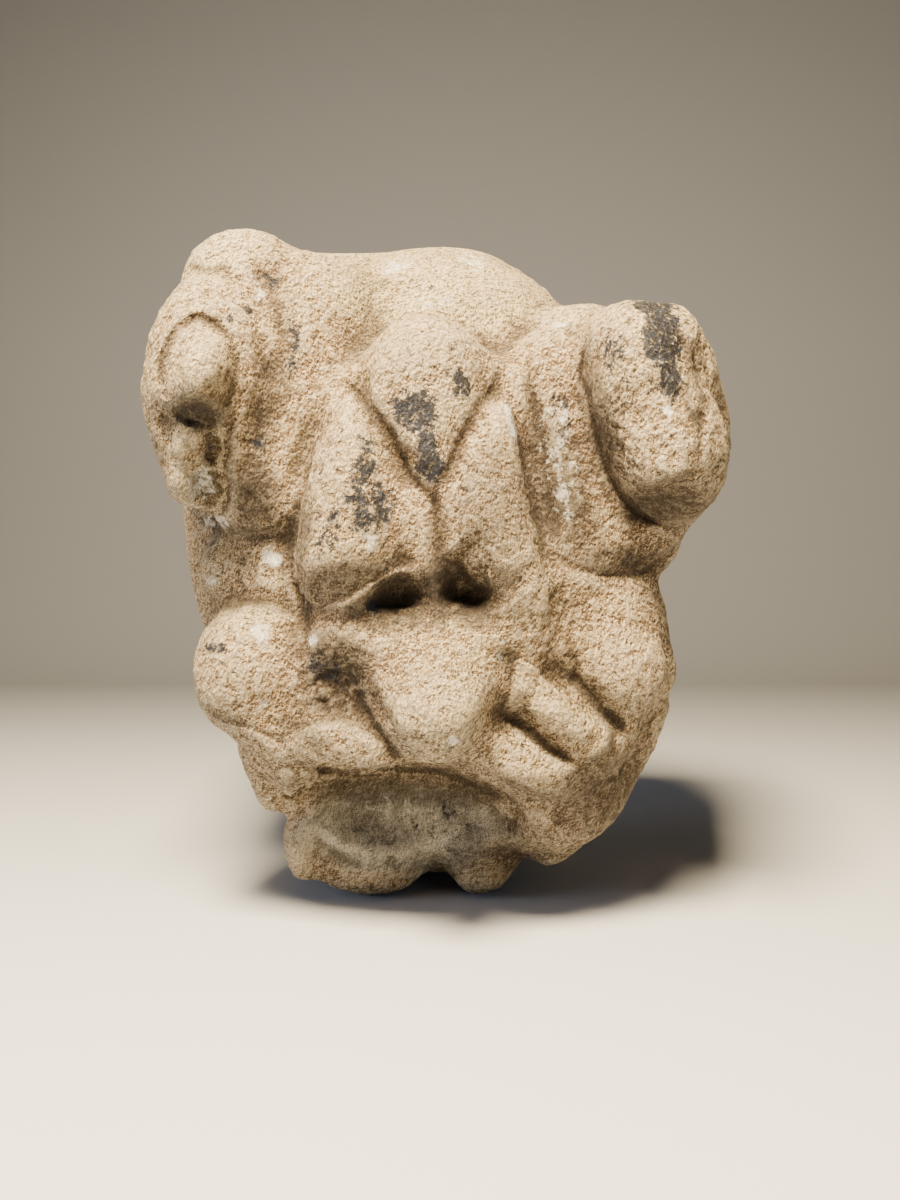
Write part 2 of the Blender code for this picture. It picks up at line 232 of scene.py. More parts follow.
# How rough the pecked skin is: name, centre in pixels, half sizes in pixels, turn in degrees, share of the
# usual
TEXTURE = (
    ("crown", (440, 285), (120, 42), 0, 0.45),
    ("boss", (428, 375), (72, 62), 0, 0.55),
    ("muzzle", (435, 670), (75, 75), 0, 0.70),
    ("recess", (405, 825), (120, 48), 0, 0.75),
    ("broken egg", (655, 400), (60, 115), 12, 1.40),
    ("left brow", (285, 290), (60, 50), 30, 0.70),
    ("muzzle pit", (333, 680), (42, 38), 15, 1.70),
    ("eye band", (570, 460), (34, 90), -12, 1.20),
    ("left eye foot", (262, 470), (45, 55), 0, 1.15),
    ("roll", (555, 715), (50, 32), 35, 1.15),
)

# Blue-black crust: name, centre in pixels, half sizes in pixels, turn in degrees, cover
CRUSTS = (
    ("boss crust", (414, 411), (25, 21), 15, 1.0),
    ("boss crust below", (427, 440), (13, 26), 0, 0.70),
    ("boss tip", (431, 467), (15, 17), 0, 1.0),
    ("boss right", (461, 385), (11, 17), -20, 0.75),
    ("boss top right", (455, 352), (18, 20), 0, 0.25),
    ("left lobe upper", (365, 470), (16, 42), 8, 0.55),
    ("left lobe lower", (370, 508), (28, 30), 0, 0.60),
    ("left lobe edge", (325, 530), (12, 30), 10, 0.45),
    ("egg streak top", (655, 304), (24, 11), 5, 1.0),
    ("egg streak", (662, 338), (19, 34), -6, 1.0),
    ("egg streak foot", (670, 378), (11, 24), -3, 1.0),
    ("egg patch", (613, 348), (17, 20), 0, 0.50),
    ("egg lower patch", (628, 385), (26, 26), 0, 0.28),
    ("egg spots", (620, 410), (34, 30), 0, 0.20),
    ("eye band patch", (560, 420), (16, 34), -15, 0.40),
    ("brow stain", (272, 280), (9, 12), -20, 0.55),
    ("lid stain", (294, 345), (8, 34), 5, 0.50),
    ("eye spot", (258, 443), (8, 6), 0, 0.9),
    ("lid spot", (249, 310), (5, 5), 0, 1.0),
    ("lid spot beside", (230, 318), (4, 4), 0, 0.9),
    ("nostril spot", (373, 607), (7, 7), 0, 1.0),
    ("muzzle stain", (430, 677), (16, 12), 0, 0.30),
    # Painted shade: dark crust laid where the pupil's shadow falls
    ("pupil underside", (198, 408), (22, 10), 0, 0.35),
    ("channel floor", (208, 445), (8, 22), 8, 0.3),
    ("pit stain", (322, 668), (20, 16), 20, 0.45),
    ("cheek spots", (215, 648), (16, 6), 0, 0.6),
    ("crown stain", (428, 288), (22, 10), 0, 0.25),
    ("recess stain", (440, 822), (40, 26), 0, 0.22),
    ("boss specks", (430, 380), (66, 72), 0, 0.16),
    ("left lobe specks", (360, 500), (70, 80), 10, 0.16),
    ("right lobe specks", (485, 480), (45, 80), 0, 0.10),
    ("egg specks", (650, 370), (60, 80), 0, 0.15),
    ("brow specks", (300, 320), (50, 90), 0, 0.10),
)

# Brown patches of painted shade under and beside the forms, partly dirt, given in the same way
SHADE_AND_DIRT_PATCHES = (
    ("septum", (438, 588), (20, 42), 0, 0.90),
    ("under the left nostril", (390, 610), (58, 24), -4, 0.80),
    ("under the right nostril", (472, 610), (32, 20), 14, 0.75),
    ("beside the eye band", (540, 470), (14, 100), -6, 0.60),
    ("eye band", (566, 500), (32, 76), -14, 0.62),
    ("under the egg ledge", (664, 504), (54, 22), -5, 0.70),
    ("under the pupil", (197, 412), (34, 20), 8, 0.70),
    ("muzzle pit", (336, 688), (42, 36), 15, 0.70),
    ("left lobe foot", (350, 580), (70, 24), -12, 0.55),
    ("right lobe foot", (496, 590), (30, 34), 40, 0.40),
    ("right lobe", (492, 505), (40, 70), 0, 0.32),
    ("between the lobes", (438, 530), (12, 44), 0, 0.45),
    ("eye band foot", (612, 560), (60, 18), 4, 0.60),
    ("egg left flank", (600, 430), (18, 76), -12, 0.60),
    ("under the lip", (400, 790), (120, 16), 2, 0.55),
    ("left eye foot", (256, 533), (42, 12), 6, 0.60),
    ("outer band", (268, 400), (20, 60), 14, 0.55),
    ("outer band foot", (254, 488), (24, 44), 0, 0.75),
    ("beyond the eyelid", (285, 330), (10, 60), -6, 0.30),
    ("beside the left lobe", (296, 540), (16, 52), 12, 0.55),
    ("muzzle shoulder", (334, 648), (44, 22), 4, 0.55),
    ("cheek to lip", (300, 735), (30, 14), 25, 0.45),
    ("right jaw", (600, 790), (56, 40), -40, 0.55),
    ("chin right", (500, 850), (60, 30), -10, 0.45),
    ("boss left side", (385, 420), (12, 50), -38, 0.35),
)

# White lime and scratches, given in the same way
LIMES = (
    ("crown lime", (398, 268), (18, 9), 0, 0.7),
    ("crown lime right", (472, 262), (16, 9), 20, 0.6),
    ("crown front", (430, 300), (34, 9), 0, 0.5),
    # Painted highlight: pale lime along the lit ridge of the eyelid rim
    ("eyelid rim lime", (254, 284), (8, 34), -28, 0.40),
    ("channel lime", (200, 488), (20, 26), 0, 0.60),
    ("channel foot lime", (215, 522), (14, 7), 0, 0.8),
    ("lobe foot lime", (271, 558), (9, 12), 20, 0.9),
    ("lobe lime", (369, 541), (12, 11), 0, 0.55),
    ("lip streak", (313, 639), (5, 8), 10, 1.0),
    ("cheek lime", (260, 635), (10, 16), 15, 0.75),
    ("cheek lime low", (261, 703), (6, 9), -20, 0.7),
    ("muzzle flecks", (452, 741), (6, 6), 0, 1.0),
    ("egg fleck", (667, 411), (6, 6), 0, 1.0),
    ("lobe scratch", (511, 424), (5, 24), -14, 0.75),
    ("band lime", (560, 460), (18, 74), -8, 0.48),
    ("brow lime", (555, 325), (18, 10), 0, 0.45),
    ("lip chip", (499, 654), (7, 8), 0, 0.8),
    ("lip chip above", (503, 641), (6, 4), 0, 0.7),
    ("recess lime", (392, 805), (26, 12), 0, 0.35),
    ("body lime", (210, 580), (14, 9), 0, 0.5),
)

# Where the boss, which the rain has not bleached, and the grey break under the lip lie
BOSS = ((428, 385), (66, 78), 0)
RECESS = ((400, 830), (125, 55), 0)

# Every line that the carver cut, for the painted shade along it and the calmer pecking beside it
CUT_LINES = [crease[1] for crease in CREASES] + [edge[1] for edge in EDGES]


def linear(hex_colour):
    """An sRGB hex colour as the linear colour that the shader takes."""
    parts = [int(hex_colour[i : i + 2], 16) / 255 for i in (1, 3, 5)]
    return [c / 12.92 if c <= 0.04045 else ((c + 0.055) / 1.055) ** 2.4 for c in parts] + [1.0]


def positions(mesh):
    flat = np.empty(len(mesh.vertices) * 3)
    mesh.vertices.foreach_get("co", flat)
    return flat.reshape(-1, 3)


def vertex_normals(mesh):
    flat = np.empty(len(mesh.vertices) * 3)
    mesh.vertex_normals.foreach_get("vector", flat)
    return flat.reshape(-1, 3)


def put_positions(mesh, places):
    mesh.vertices.foreach_set("co", places.ravel())
    mesh.update()


def link(name, mesh):
    piece = bpy.data.objects.new(name, mesh)
    bpy.context.scene.collection.objects.link(piece)
    return piece


def with_modifier(piece, kind, **settings):
    """The piece's mesh with one modifier worked into it."""
    modifier = piece.modifiers.new(kind, kind)
    for key, value in settings.items():
        setattr(modifier, key, value)
    bpy.context.view_layer.update()
    graph = bpy.context.evaluated_depsgraph_get()
    mesh = bpy.data.meshes.new_from_object(piece.evaluated_get(graph))
    piece.modifiers.clear()
    old = piece.data
    piece.data = mesh
    bpy.data.meshes.remove(old)
    return mesh


def neighbours(mesh):
    """The edges as two columns, and how many edges meet at each vertex."""
    edges = np.empty(len(mesh.edges) * 2, dtype=int)
    mesh.edges.foreach_get("vertices", edges)
    edges = edges.reshape(-1, 2)
    return edges, np.bincount(edges.ravel(), minlength=len(mesh.vertices))


def evened(values, edges, count, times):
    """Each vertex's values averaged with its neighbours', this many times over."""
    values = np.array(values, float)
    for _ in range(times):
        around = np.stack(
            [
                np.bincount(edges[:, 0], values[edges[:, 1], i], len(values))
                + np.bincount(edges[:, 1], values[edges[:, 0], i], len(values))
                for i in range(values.shape[1])
            ],
            axis=1,
        )
        values = 0.5 * values + 0.5 * around / count[:, None]
    return values


def on_photo(places):
    """Where each point falls in the photograph, in pixels, and how far it is from the camera along Y."""
    away = places - np.array(EYE)
    u = PHOTO_WIDE / 2 + FOCAL * away[:, 0] / away[:, 1]
    v = PHOTO_HIGH / 2 - FOCAL * away[:, 2] / away[:, 1]
    return np.stack([u, v], axis=1), away[:, 1]


def seen_skin(places, normals):
    """How squarely each point faces the camera, 0 where hidden, with its line of sight and its pixel."""
    pixels, depth = on_photo(places)
    cell, cells = 6, 400
    keys = np.clip((pixels // cell).astype(int), 0, cells)
    nearest = np.full((cells + 1, cells + 1), np.inf)
    np.minimum.at(nearest, (keys[:, 0], keys[:, 1]), depth)
    hidden = np.clip((depth - nearest[keys[:, 0], keys[:, 1]] - 9 * MM) / (6 * MM), 0, 1)
    ray = np.array(EYE) - places
    ray /= np.linalg.norm(ray, axis=1)[:, None]
    facing = np.clip((normals * ray).sum(1) * 3.0 - 0.15, 0, 1)
    return facing * (1 - hidden), ray, pixels


def from_path(pixels, path):
    """How far each point lies from the path, in pixels, and how far along the path that is, 0 to 1."""
    nearest = np.full(len(pixels), np.inf)
    share = np.zeros(len(pixels))
    corners = np.array(path, float)
    lengths = np.linalg.norm(np.diff(corners, axis=0), axis=1)
    run = 0.0
    for a, b, length in zip(corners, corners[1:], lengths):
        along = np.clip((pixels - a) @ (b - a) / length**2, 0, 1)
        off = np.linalg.norm(pixels - a - along[:, None] * (b - a), axis=1)
        share = np.where(off < nearest, (run + along * length) / lengths.sum(), share)
        nearest = np.minimum(nearest, off)
        run += length
    return nearest, share


def beyond_path(pixels, path):
    """How far each point lies on the right hand of the path, in pixels; below nought on its left hand."""
    nearest = np.full(len(pixels), np.inf)
    side = np.zeros(len(pixels))
    corners = np.array(path, float)
    for a, b in zip(corners, corners[1:]):
        step = b - a
        away = pixels - a
        along = np.clip(away @ step / (step @ step), 0, 1)
        off = np.linalg.norm(away - along[:, None] * step, axis=1)
        turned = step[0] * away[:, 1] - step[1] * away[:, 0]
        side = np.where(off < nearest - 0.01, np.sign(turned), side)
        nearest = np.minimum(nearest, off)
    return nearest * side


def edge_step(pixels, path, side, reach):
    """An edge's profile: up over a few pixels, easing off on its higher side, with a dip in front."""
    off = beyond_path(pixels, path) * side
    _, share = from_path(pixels, path)
    rise = np.clip(off / 7 + 0.5, 0, 1)
    rise = rise * rise * (3 - 2 * rise)
    high = rise * np.exp(-((np.maximum(off, 0) / reach) ** 2))
    dip = (1 - rise) * np.exp(-((off / (0.45 * reach)) ** 2))
    ends = np.clip(np.minimum(share, 1 - share) / 0.15, 0, 1)
    return (high - 0.45 * dip) * (0.25 + 0.75 * ends)


def rounding(pixels, path, side, reach):
    """How far a form has turned under: 1 at its edge, easing off behind it, and nothing in front of it."""
    off = beyond_path(pixels, path) * side
    _, share = from_path(pixels, path)
    inside = np.clip(off / 8 + 0.6, 0, 1)
    ends = np.clip(np.minimum(share, 1 - share) / 0.15, 0, 1)
    return inside * np.exp(-((np.maximum(off, 0) / reach) ** 2)) * ends


def stroke(pixels, path, half_width):
    """A stroke's strength: full on its path, gone at twice its half width, thinner at its two ends."""
    off, share = from_path(pixels, path)
    body = np.exp(-((off / half_width) ** 2))
    ends = np.clip(np.minimum(share, 1 - share) / 0.12, 0, 1) * 0.6 + 0.4
    return body * ends


def patch(pixels, centre, half_sizes, turn):
    """1 in the middle of the turned ellipse, falling to 0 at its rim."""
    angle = math.radians(turn)
    away = pixels - np.array(centre, float)
    across = away[:, 0] * math.cos(angle) + away[:, 1] * math.sin(angle)
    down = away[:, 1] * math.cos(angle) - away[:, 0] * math.sin(angle)
    reach = (across / half_sizes[0]) ** 2 + (down / half_sizes[1]) ** 2
    return np.clip(1 - reach, 0, 1)


def eased(strength):
    """The same patch with its middle and its rim rounded off."""
    return strength * strength * (3 - 2 * strength)


def plateau(strength):
    """The same patch with a flat middle and a rounded rim."""
    return eased(np.clip(strength * 1.6, 0, 1))


def waves(places, size, seed, octaves=2):
    """Smooth random lift between about -1 and 1, whose lumps are this size across, in metres."""
    shift = Vector((seed * 7.31, seed * 3.17, seed * 5.03))
    lift = np.empty(len(places))
    for i, place in enumerate(places):
        lift[i] = noise.fractal(Vector(place) / size + shift, 0.9, 2.1, octaves)
    return lift


def wall_and_bed(places):
    """1 away from the two flat faces and 0 on them, so that they stay flat."""
    bed = solid_box[1][2]
    behind = np.clip(-places[:, 1] / (3 * MM), 0, 1)
    below = np.clip((bed - places[:, 2]) / (2.5 * MM), 0, 1)
    return behind * below


def make_skin():
    """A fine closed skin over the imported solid, with its facets eased out."""
    bm = bmesh.new()
    bm.from_mesh(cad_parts["carved_corbel"].data)
    bmesh.ops.remove_doubles(bm, verts=bm.verts, dist=0.001 * MM)
    mesh = bpy.data.meshes.new("corbel stone")
    bm.to_mesh(mesh)
    bm.free()
    stone = link("corbel_stone", mesh)
    mesh = with_modifier(stone, "REMESH", mode="VOXEL", voxel_size=SKIN_VOXEL)
    edges, count = neighbours(mesh)
    places = positions(mesh)
    calmed = evened(places, edges, count, 14)
    keep = wall_and_bed(places)[:, None]
    put_positions(mesh, places + (calmed - places) * keep)
    return stone


def carve(stone):
    """Cuts the lines and lumps along the line of sight, so that each stays on its own pixels."""
    mesh = stone.data
    places = positions(mesh)
    seen, ray, pixels = seen_skin(places, vertex_normals(mesh))
    lift = np.zeros(len(places))
    for _, path, half_width, depth in CREASES:
        lift -= stroke(pixels, path, half_width) * depth
    for _, path, side, reach, height in EDGES:
        lift += edge_step(pixels, path, side, reach) * height
    for _, path, side, reach, depth in ROUNDED:
        lift -= rounding(pixels, path, side, reach) * depth
    for _, path, half_width, height in RIDGES:
        lift += stroke(pixels, path, half_width) * height
    for _, centre, half_sizes, turn, height in LUMPS:
        lift += eased(patch(pixels, centre, half_sizes, turn)) * height
    places += ray * (lift * seen * wall_and_bed(places) * MM)[:, None]
    edges, count = neighbours(mesh)
    soft = np.zeros(len(places))
    for _, centre, half_sizes, turn in SOFTENED:
        middle = plateau(patch(pixels, centre, half_sizes, turn))
        soft = np.maximum(soft, middle * np.clip(seen * 3, 0, 1))
    places += (evened(places, edges, count, 50) - places) * soft[:, None]
    put_positions(mesh, evened(places, edges, count, 1))


def peck(stone):
    """Works the hewn and pecked surface over the stone, stronger where broken and calmer by the cuts."""
    mesh = stone.data
    places = positions(mesh)
    normals = vertex_normals(mesh)
    seen, _, pixels = seen_skin(places, normals)
    rough = np.ones(len(places))
    for _, centre, half_sizes, turn, share in TEXTURE:
        rough += (share - 1) * plateau(patch(pixels, centre, half_sizes, turn)) * np.clip(seen * 3, 0, 1)
    near = np.full(len(places), np.inf)
    for path in CUT_LINES:
        near = np.minimum(near, from_path(pixels, path)[0])
    rough *= 1 - 0.65 * np.exp(-((near / 9) ** 2)) * seen
    hewn = waves(places, HEWN_SIZE, 1) * HEWN_LIFT
    lumps = waves(places, LUMP_SIZE, 2) * LUMP_LIFT
    pecks = waves(places, PECK_SIZE, 3) * PECK_LIFT
    marks = waves(places * np.array(MARK_STRETCH), MARK_SIZE, 4, 1) * MARK_LIFT
    lift = hewn + (lumps + pecks + marks) * rough
    put_positions(mesh, places + normals * (lift * wall_and_bed(places) * MM)[:, None])


def chip(stone):
    """Breaks flakes out of the chipped places."""
    mesh = stone.data
    places = positions(mesh)
    normals = vertex_normals(mesh)
    seen, _, pixels = seen_skin(places, normals)
    where = np.zeros(len(places))
    for _, centre, half_sizes, turn, share in CHIPPED:
        where += plateau(patch(pixels, centre, half_sizes, turn)) * share
    where = where * np.clip(seen * 3, 0, 1) * wall_and_bed(places)
    lift = np.zeros(len(places))
    for i in np.nonzero(where > 0.02)[0]:
        place = Vector(places[i])
        big = BIG_FLAKE_LIFT * (BIG_FLAKE_TURN - abs(noise.noise(place / BIG_FLAKE)))
        small = SMALL_FLAKE_LIFT * (SMALL_FLAKE_TURN - abs(noise.noise(place / SMALL_FLAKE)))
        lift[i] = big + small
    put_positions(mesh, places + normals * (lift * where * MM)[:, None])


def thin(stone):
    """Brings the skin down to the triangles that it needs, fewest where it is flat."""
    mesh = stone.data
    triangles = sum(len(face.vertices) - 2 for face in mesh.polygons)
    with_modifier(stone, "DECIMATE", ratio=min(1.0, SKIN_TRIANGLES / triangles))
    stone.data.shade_smooth()


def add_attribute(mesh, name, values):
    layer = mesh.attributes.new(name, "FLOAT", "POINT")
    layer.data.foreach_set("value", np.clip(values, 0, 1).astype(np.float32))


def covered(pixels, table):
    """How thickly the table's patches cover each point, past 1 in the middle of the thickest."""
    cover = np.zeros(len(pixels))
    for _, centre, half_sizes, turn, share in table:
        wider = (half_sizes[0] * 1.25, half_sizes[1] * 1.25)
        cover = np.maximum(cover, patch(pixels, centre, wider, turn) * share * 1.2)
    return cover


def mark_weather_and_light(stone):
    """Keeps on the skin where the hollows and crests are, where dirt, painted shade, crust and lime sit,
    and which faces turn up or down, for painted light and shade.
    """
    mesh = stone.data
    places = positions(mesh)
    normals = vertex_normals(mesh)
    seen, _, pixels = seen_skin(places, normals)
    seen = np.clip(seen * 4, 0, 1)
    edges, count = neighbours(mesh)
    # Fine and broad hollows and crests, for painted shade in the hollows and painted light on the crests
    fine = ((evened(places, edges, count, 4) - places) * normals).sum(1)
    broad = ((evened(places, edges, count, 60) - places) * normals).sum(1)
    add_attribute(mesh, "hollow", fine / (0.35 * MM) + 0.5)
    add_attribute(mesh, "deep", broad / (3.0 * MM) + 0.5)
    # Brown painted shade, partly dirt, in the listed patches and along the cut lines
    shade_and_dirt = np.zeros(len(places))
    for _, centre, half_sizes, turn, cover in SHADE_AND_DIRT_PATCHES:
        wider = (half_sizes[0] * 1.3, half_sizes[1] * 1.3)
        shade_and_dirt = np.maximum(shade_and_dirt, eased(patch(pixels, centre, wider, turn)) * cover)
    cut_line_shade = np.zeros(len(places))
    for path in CUT_LINES:
        cut_line_shade = np.maximum(cut_line_shade, stroke(pixels, path, 5.0))
    add_attribute(mesh, "shade_and_dirt", np.maximum(shade_and_dirt, cut_line_shade * 0.5) * seen)
    add_attribute(mesh, "crust", covered(pixels, CRUSTS) * seen)
    add_attribute(mesh, "lime", covered(pixels, LIMES) * seen)
    boss = plateau(patch(pixels, *BOSS))
    bleached_and_top_lit = np.zeros(len(places))
    for _, centre, half_sizes, turn in BLEACHED:
        top = plateau(patch(pixels, centre, half_sizes, turn))
        bleached_and_top_lit = np.maximum(bleached_and_top_lit, top * (1 - boss) * seen)
    # Painted light: faces that turn upward are made paler, as tops lit from above
    painted_top_light = np.clip(normals[:, 2] * 1.2 - 0.35, 0, 1)
    add_attribute(mesh, "bleached_and_top_lit", np.maximum(bleached_and_top_lit, painted_top_light))
    add_attribute(mesh, "recess", plateau(patch(pixels, *RECESS)) * seen)
    # Painted shade: how far the faces turn downward, for darker undersides
    turned = evened(normals, edges, count, 12)[:, 2]
    add_attribute(mesh, "under", np.clip(-0.35 - turned * 1.6, 0, 1))


def node(tree, kind, settings=None, **inputs):
    """Adds a node, with its settings and what goes into its sockets: a value, or another node's output.

    A socket goes by its name, or by i and its number where names repeat.
    """
    made = tree.nodes.new(kind)
    for key, value in (settings or {}).items():
        setattr(made, key, value)
    for name, value in inputs.items():
        numbered = name[0] == "i" and name[1:].isdigit()
        socket = made.inputs[int(name[1:])] if numbered else made.inputs[name]
        if isinstance(value, bpy.types.NodeSocket):
            tree.links.new(value, socket)
        else:
            socket.default_value = value
    return made


def pattern(tree, place, size, detail=3.0, rough=0.6):
    """Noise whose lumps are about this size across, in metres, as a value from 0 to 1."""
    settings = {"Vector": place, "Scale": 1 / size, "Detail": detail, "Roughness": rough}
    return node(tree, "ShaderNodeTexNoise", None, **settings).outputs[0]


def ranged(tree, value, low, high, to_low=0.0, to_high=1.0):
    """The value with low to high stretched to its new limits."""
    made = node(tree, "ShaderNodeMapRange", None, i0=value, i1=low, i2=high, i3=to_low, i4=to_high)
    return made.outputs[0]


def combine(tree, operation, a, b):
    return node(tree, "ShaderNodeMath", {"operation": operation}, i0=a, i1=b).outputs[0]


def mixed(tree, share, a, b):
    """Colour a, with this share of colour b over it."""
    return node(tree, "ShaderNodeMix", {"data_type": "RGBA"}, i0=share, i6=a, i7=b).outputs[2]


def pecking(tree, place, shift):
    """The height of the marks left by the mason's point, 1.7 mm wide and 2.4 mm high, from about 0 to 1."""
    drawn = node(tree, "ShaderNodeMapping", None, Vector=place, Location=shift, Scale=(1.0, 1.0, 0.72))
    drawn = drawn.outputs[0]
    bent = node(tree, "ShaderNodeTexNoise", None, Vector=drawn, Scale=1 / (2.0 * MM), Detail=2.0).outputs[1]
    bent = node(tree, "ShaderNodeVectorMath", {"operation": "SCALE"}, i0=bent, Scale=1.8 * MM).outputs[0]
    bent = node(tree, "ShaderNodeVectorMath", {"operation": "ADD"}, i0=drawn, i1=bent).outputs[0]
    cells = node(tree, "ShaderNodeTexVoronoi", None, Vector=bent, Scale=1 / (1.7 * MM)).outputs[0]
    rubble = pattern(tree, drawn, 1.0 * MM, 3.0, 0.68)
    cells = combine(tree, "MULTIPLY", cells, 0.5)
    rubble = combine(tree, "MULTIPLY", rubble, 1.1)
    return combine(tree, "SUBTRACT", combine(tree, "ADD", cells, rubble), 0.30)


def sandstone_with_painted_light():
    """Medium sandstone, pecked by hand: warm and sugary, with cream grains and brown pores, all matt, and
    with painted light and shade on its marks, crests, hollows and undersides.
    """
    material = bpy.data.materials.new("weathered sandstone")
    material.use_nodes = True
    tree = material.node_tree
    shader = tree.nodes["Principled BSDF"]
    place = node(tree, "ShaderNodeTexCoord").outputs["Object"]
    kept = {}
    for name in ("hollow", "deep", "shade_and_dirt", "crust", "lime", "bleached_and_top_lit", "recess", "under"):
        kept[name] = node(tree, "ShaderNodeAttribute", {"attribute_name": name}).outputs["Fac"]

    # Beds of yellower and browner stone, 60 mm across, then mottling of 11 mm
    beds = ranged(tree, pattern(tree, place, 60 * MM), 0.38, 0.62)
    colour = mixed(tree, beds, linear("#987a4e"), linear("#876540"))
    mottle = ranged(tree, pattern(tree, place, 11 * MM, 5.0, 0.65), 0.40, 0.62)
    colour = mixed(tree, combine(tree, "MULTIPLY", mottle, 0.22), colour, linear("#b5a07c"))

    # Bleached tops: the crown and the other listed tops are paler, and every face that turns upward is made
    # paler as painted light from above
    bleached_and_top_lit = ranged(tree, pattern(tree, place, 14 * MM, 4.0), 0.30, 0.60, 0.35, 0.85)
    bleached_and_top_lit = combine(tree, "MULTIPLY", bleached_and_top_lit, kept["bleached_and_top_lit"])
    colour = mixed(tree, bleached_and_top_lit, colour, linear("#d8c290"))

    # Painted light on the broad crests, and grey-brown painted shade on the faces that turn downward
    painted_crest_light = ranged(tree, kept["deep"], 0.46, 0.15)
    colour = mixed(tree, combine(tree, "MULTIPLY", painted_crest_light, 0.22), colour, linear("#d6bf92"))
    under = combine(tree, "MULTIPLY", kept["under"], 0.55)
    colour = mixed(tree, under, colour, linear("#5f544a"))

    # The old break under the lip is grey to pale cream; its paleness is partly painted light in the shade
    # under the lip
    recess = ranged(tree, pattern(tree, place, 20 * MM, 4.0, 0.6), 0.42, 0.60)
    recess = mixed(tree, recess, linear("#88857c"), linear("#d8d1bd"))
    colour = mixed(tree, combine(tree, "MULTIPLY", kept["recess"], 0.9), colour, recess)

    # Marks of the point with painted light and shade: the marks are compared with a copy shifted up and to
    # the left, towards the light from above. Each mark gets a painted highlight on its lit side and brown
    # painted shade on its other side.
    # The stone's own grains are drawn 0.6 mm across, a little coarse, so that they show.
    marks = pecking(tree, place, (0.0, 0.0, 0.0))
    above = pecking(tree, place, (-0.15 * MM, 0.0, 0.34 * MM))
    painted_relief_light = combine(tree, "SUBTRACT", marks, above)
    calm = ranged(tree, kept["recess"], 0.0, 1.0, 1.0, 0.55)
    grain = pattern(tree, place, 0.6 * MM, 2.0, 0.7)
    painted_mark_highlights = combine(tree, "MULTIPLY", ranged(tree, painted_relief_light, 0.02, 0.13), calm)
    colour = mixed(tree, combine(tree, "MULTIPLY", painted_mark_highlights, 0.62), colour, linear("#eedcb6"))
    painted_mark_shade = combine(tree, "MULTIPLY", ranged(tree, painted_relief_light, 0.01, -0.12), calm)
    colour = mixed(tree, combine(tree, "MULTIPLY", painted_mark_shade, 0.92), colour, linear("#3c3026"))
    grains = ranged(tree, grain, 0.50, 0.70)
    colour = mixed(tree, combine(tree, "MULTIPLY", grains, 0.30), colour, linear("#e6dcc6"))

    # Painted shade in the fine and the broad hollows, and rubbed light edges
    shade_and_dirt = ranged(tree, kept["hollow"], 0.60, 1.0)
    colour = mixed(tree, combine(tree, "MULTIPLY", shade_and_dirt, 0.25), colour, linear("#4a3a2b"))
    rubbed = ranged(tree, kept["hollow"], 0.42, 0.10)
    colour = mixed(tree, combine(tree, "MULTIPLY", rubbed, 0.30), colour, linear("#d9ccb2"))
    # Painted shade in the broad hollows, weaker in the break under the lip
    deep = ranged(tree, kept["deep"], 0.57, 1.0)
    deep = combine(tree, "MULTIPLY", deep, ranged(tree, kept["recess"], 0.0, 1.0, 1.0, 0.2))
    colour = mixed(tree, combine(tree, "MULTIPLY", deep, 0.65), colour, linear("#3a3027"))
    # Brown patches of painted shade, partly dirt, where the listed patches lie
    painted_shade_and_dirt = combine(tree, "ADD", kept["shade_and_dirt"], pattern(tree, place, 4 * MM, 4.0, 0.7))
    painted_shade_and_dirt = ranged(tree, painted_shade_and_dirt, 0.45, 1.30)
    painted_shade_and_dirt = combine(tree, "MULTIPLY", painted_shade_and_dirt, ranged(tree, kept["shade_and_dirt"], 0.0, 0.25))
    colour = mixed(tree, combine(tree, "MULTIPLY", painted_shade_and_dirt, 0.90), colour, linear("#352d26"))

    # Blue-black crust in ragged specks and flakes
    flakes = pattern(tree, place, 4.5 * MM, 8.0, 0.85)
    crust = combine(tree, "ADD", flakes, combine(tree, "MULTIPLY", kept["crust"], 0.24))
    crust = ranged(tree, crust, 0.588, 0.63)
    crust = combine(tree, "MULTIPLY", crust, ranged(tree, marks, 0.80, 0.56, 0.60, 1.0))
    crust = combine(tree, "MULTIPLY", crust, ranged(tree, kept["crust"], 0.02, 0.20))
    crust_tone = ranged(tree, pattern(tree, place, 3 * MM), 0.35, 0.65)
    crust_tone = mixed(tree, crust_tone, linear("#080b12"), linear("#282e3c"))
    colour = mixed(tree, combine(tree, "MULTIPLY", crust, 0.96), colour, crust_tone)

    # White lime in dusty patches
    dust = pattern(tree, place, 5 * MM, 6.0, 0.75)
    lime = combine(tree, "ADD", dust, combine(tree, "MULTIPLY", kept["lime"], 0.26))
    lime = ranged(tree, lime, 0.62, 0.76)
    lime = combine(tree, "MULTIPLY", lime, ranged(tree, kept["lime"], 0.02, 0.15))
    colour = mixed(tree, combine(tree, "MULTIPLY", lime, 0.85), colour, linear("#efece2"))

    tree.links.new(colour, shader.inputs["Base Color"])
    matt = ranged(tree, crust, 0.0, 1.0, 0.93, 0.78)
    tree.links.new(matt, shader.inputs["Roughness"])
    shader.inputs["Specular IOR Level"].default_value = 0.25

    # The same marks and grain as relief, too fine for the mesh
    marks = node(tree, "ShaderNodeBump", None, Strength=1.0, Distance=3.5 * MM, Height=marks)
    marks = marks.outputs[0]
    grain = node(tree, "ShaderNodeBump", None, Strength=1.0, Distance=1.0 * MM, Height=grain, Normal=marks)
    tree.links.new(grain.outputs[0], shader.inputs["Normal"])
    return material


def pale_paper():
    """Uncoated paper: matt, even and nearly white."""
    material = bpy.data.materials.new("pale paper")
    material.use_nodes = True
    shader = material.node_tree.nodes["Principled BSDF"]
    shader.inputs["Base Color"].default_value = linear("#bbbcbd")
    shader.inputs["Roughness"].default_value = 0.95
    shader.inputs["Specular IOR Level"].default_value = 0.1
    return material


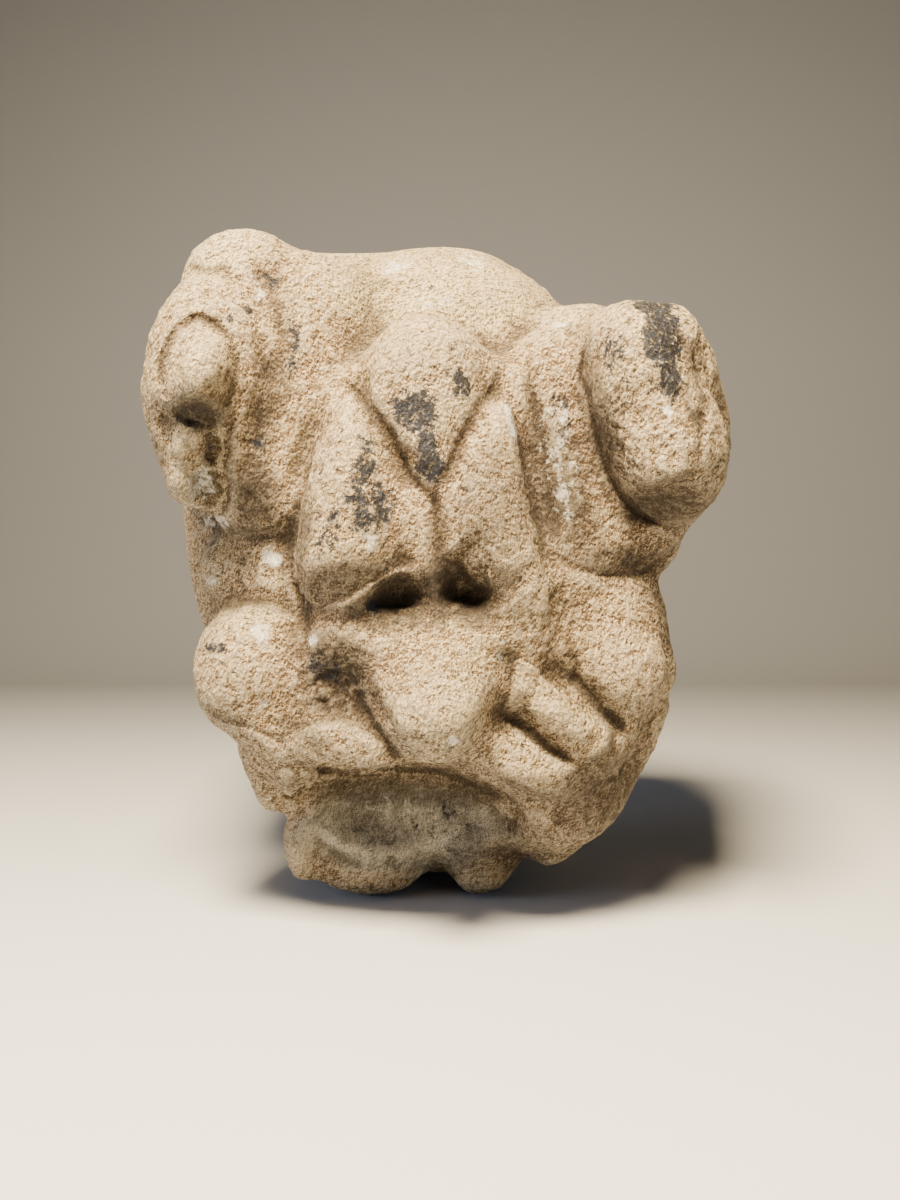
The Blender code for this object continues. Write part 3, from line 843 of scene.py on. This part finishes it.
def make_floor():
    """A plain pale sheet: floor under the stone, rising in one sweep to a backdrop far behind it."""
    level = solid_box[0][2]
    half_wide, front, deep, high, curve = 3.0, -2.5, 3.6, 2.4, 0.12
    bm = bmesh.new()
    left = bm.verts.new((-half_wide, front, level))
    right = bm.verts.new((half_wide, front, level))
    edge = bm.edges.new((left, right))
    steps = [(0, deep, 0)]
    turns = [math.radians(a) for a in range(5, 90, 10)]
    steps += [(0, math.cos(turn) * curve, math.sin(turn) * curve) for turn in turns]
    steps += [(0, 0, high)]
    for step in steps:
        grown = bmesh.ops.extrude_edge_only(bm, edges=[edge])["geom"]
        corners = [v for v in grown if isinstance(v, bmesh.types.BMVert)]
        edge = next(e for e in grown if isinstance(e, bmesh.types.BMEdge))
        bmesh.ops.translate(bm, verts=corners, vec=step)
    bmesh.ops.recalc_face_normals(bm, faces=bm.faces)
    mesh = bpy.data.meshes.new("floor sheet")
    bm.to_mesh(mesh)
    bm.free()
    mesh.shade_smooth()
    floor = link("floor_sheet", mesh)
    floor.data.materials.append(pale_paper())


def add_light(name, place, aim, size, power, colour):
    lamp = bpy.data.lights.new(name, "AREA")
    lamp.shape = "SQUARE"
    lamp.size = size
    lamp.energy = power
    lamp.color = linear(colour)[:3]
    light = bpy.data.objects.new(name, lamp)
    bpy.context.scene.collection.objects.link(light)
    light.location = place
    light.rotation_euler = (Vector(aim) - Vector(place)).to_track_quat("-Z", "Y").to_euler()


def light_and_camera():
    add_light("key from above", (-0.10, -0.56, 0.62), (0, -0.12, 0.0), 0.24, 58, "#ffe8c0")
    add_light("right fill", (0.9, -1.0, 0.0), (0, -0.1, 0), 0.8, 2.4, "#d4e2ff")
    add_light("left fill", (-1.1, -0.5, 0.1), (0, -0.1, 0), 0.7, 9.5, "#dce6ff")
    world = bpy.data.worlds.new("studio")
    bpy.context.scene.world = world
    world.use_nodes = True
    world.node_tree.nodes["Background"].inputs[0].default_value = (1, 1, 1, 1)
    world.node_tree.nodes["Background"].inputs[1].default_value = 0.02

    lens = bpy.data.cameras.new("photo camera")
    lens.sensor_width = 36
    lens.lens = 36 * FOCAL / PHOTO_HIGH
    lens.clip_start = 0.01
    camera = bpy.data.objects.new("photo camera", lens)
    camera.location = EYE
    camera.rotation_euler = (math.radians(90), 0, 0)
    bpy.context.scene.collection.objects.link(camera)
    bpy.context.scene.camera = camera


stone = make_skin()
carve(stone)
chip(stone)
peck(stone)
thin(stone)
mark_weather_and_light(stone)
stone.data.materials.clear()
stone.data.materials.append(sandstone_with_painted_light())
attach(stone, "root")
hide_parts("carved_corbel")
make_floor()
light_and_camera()
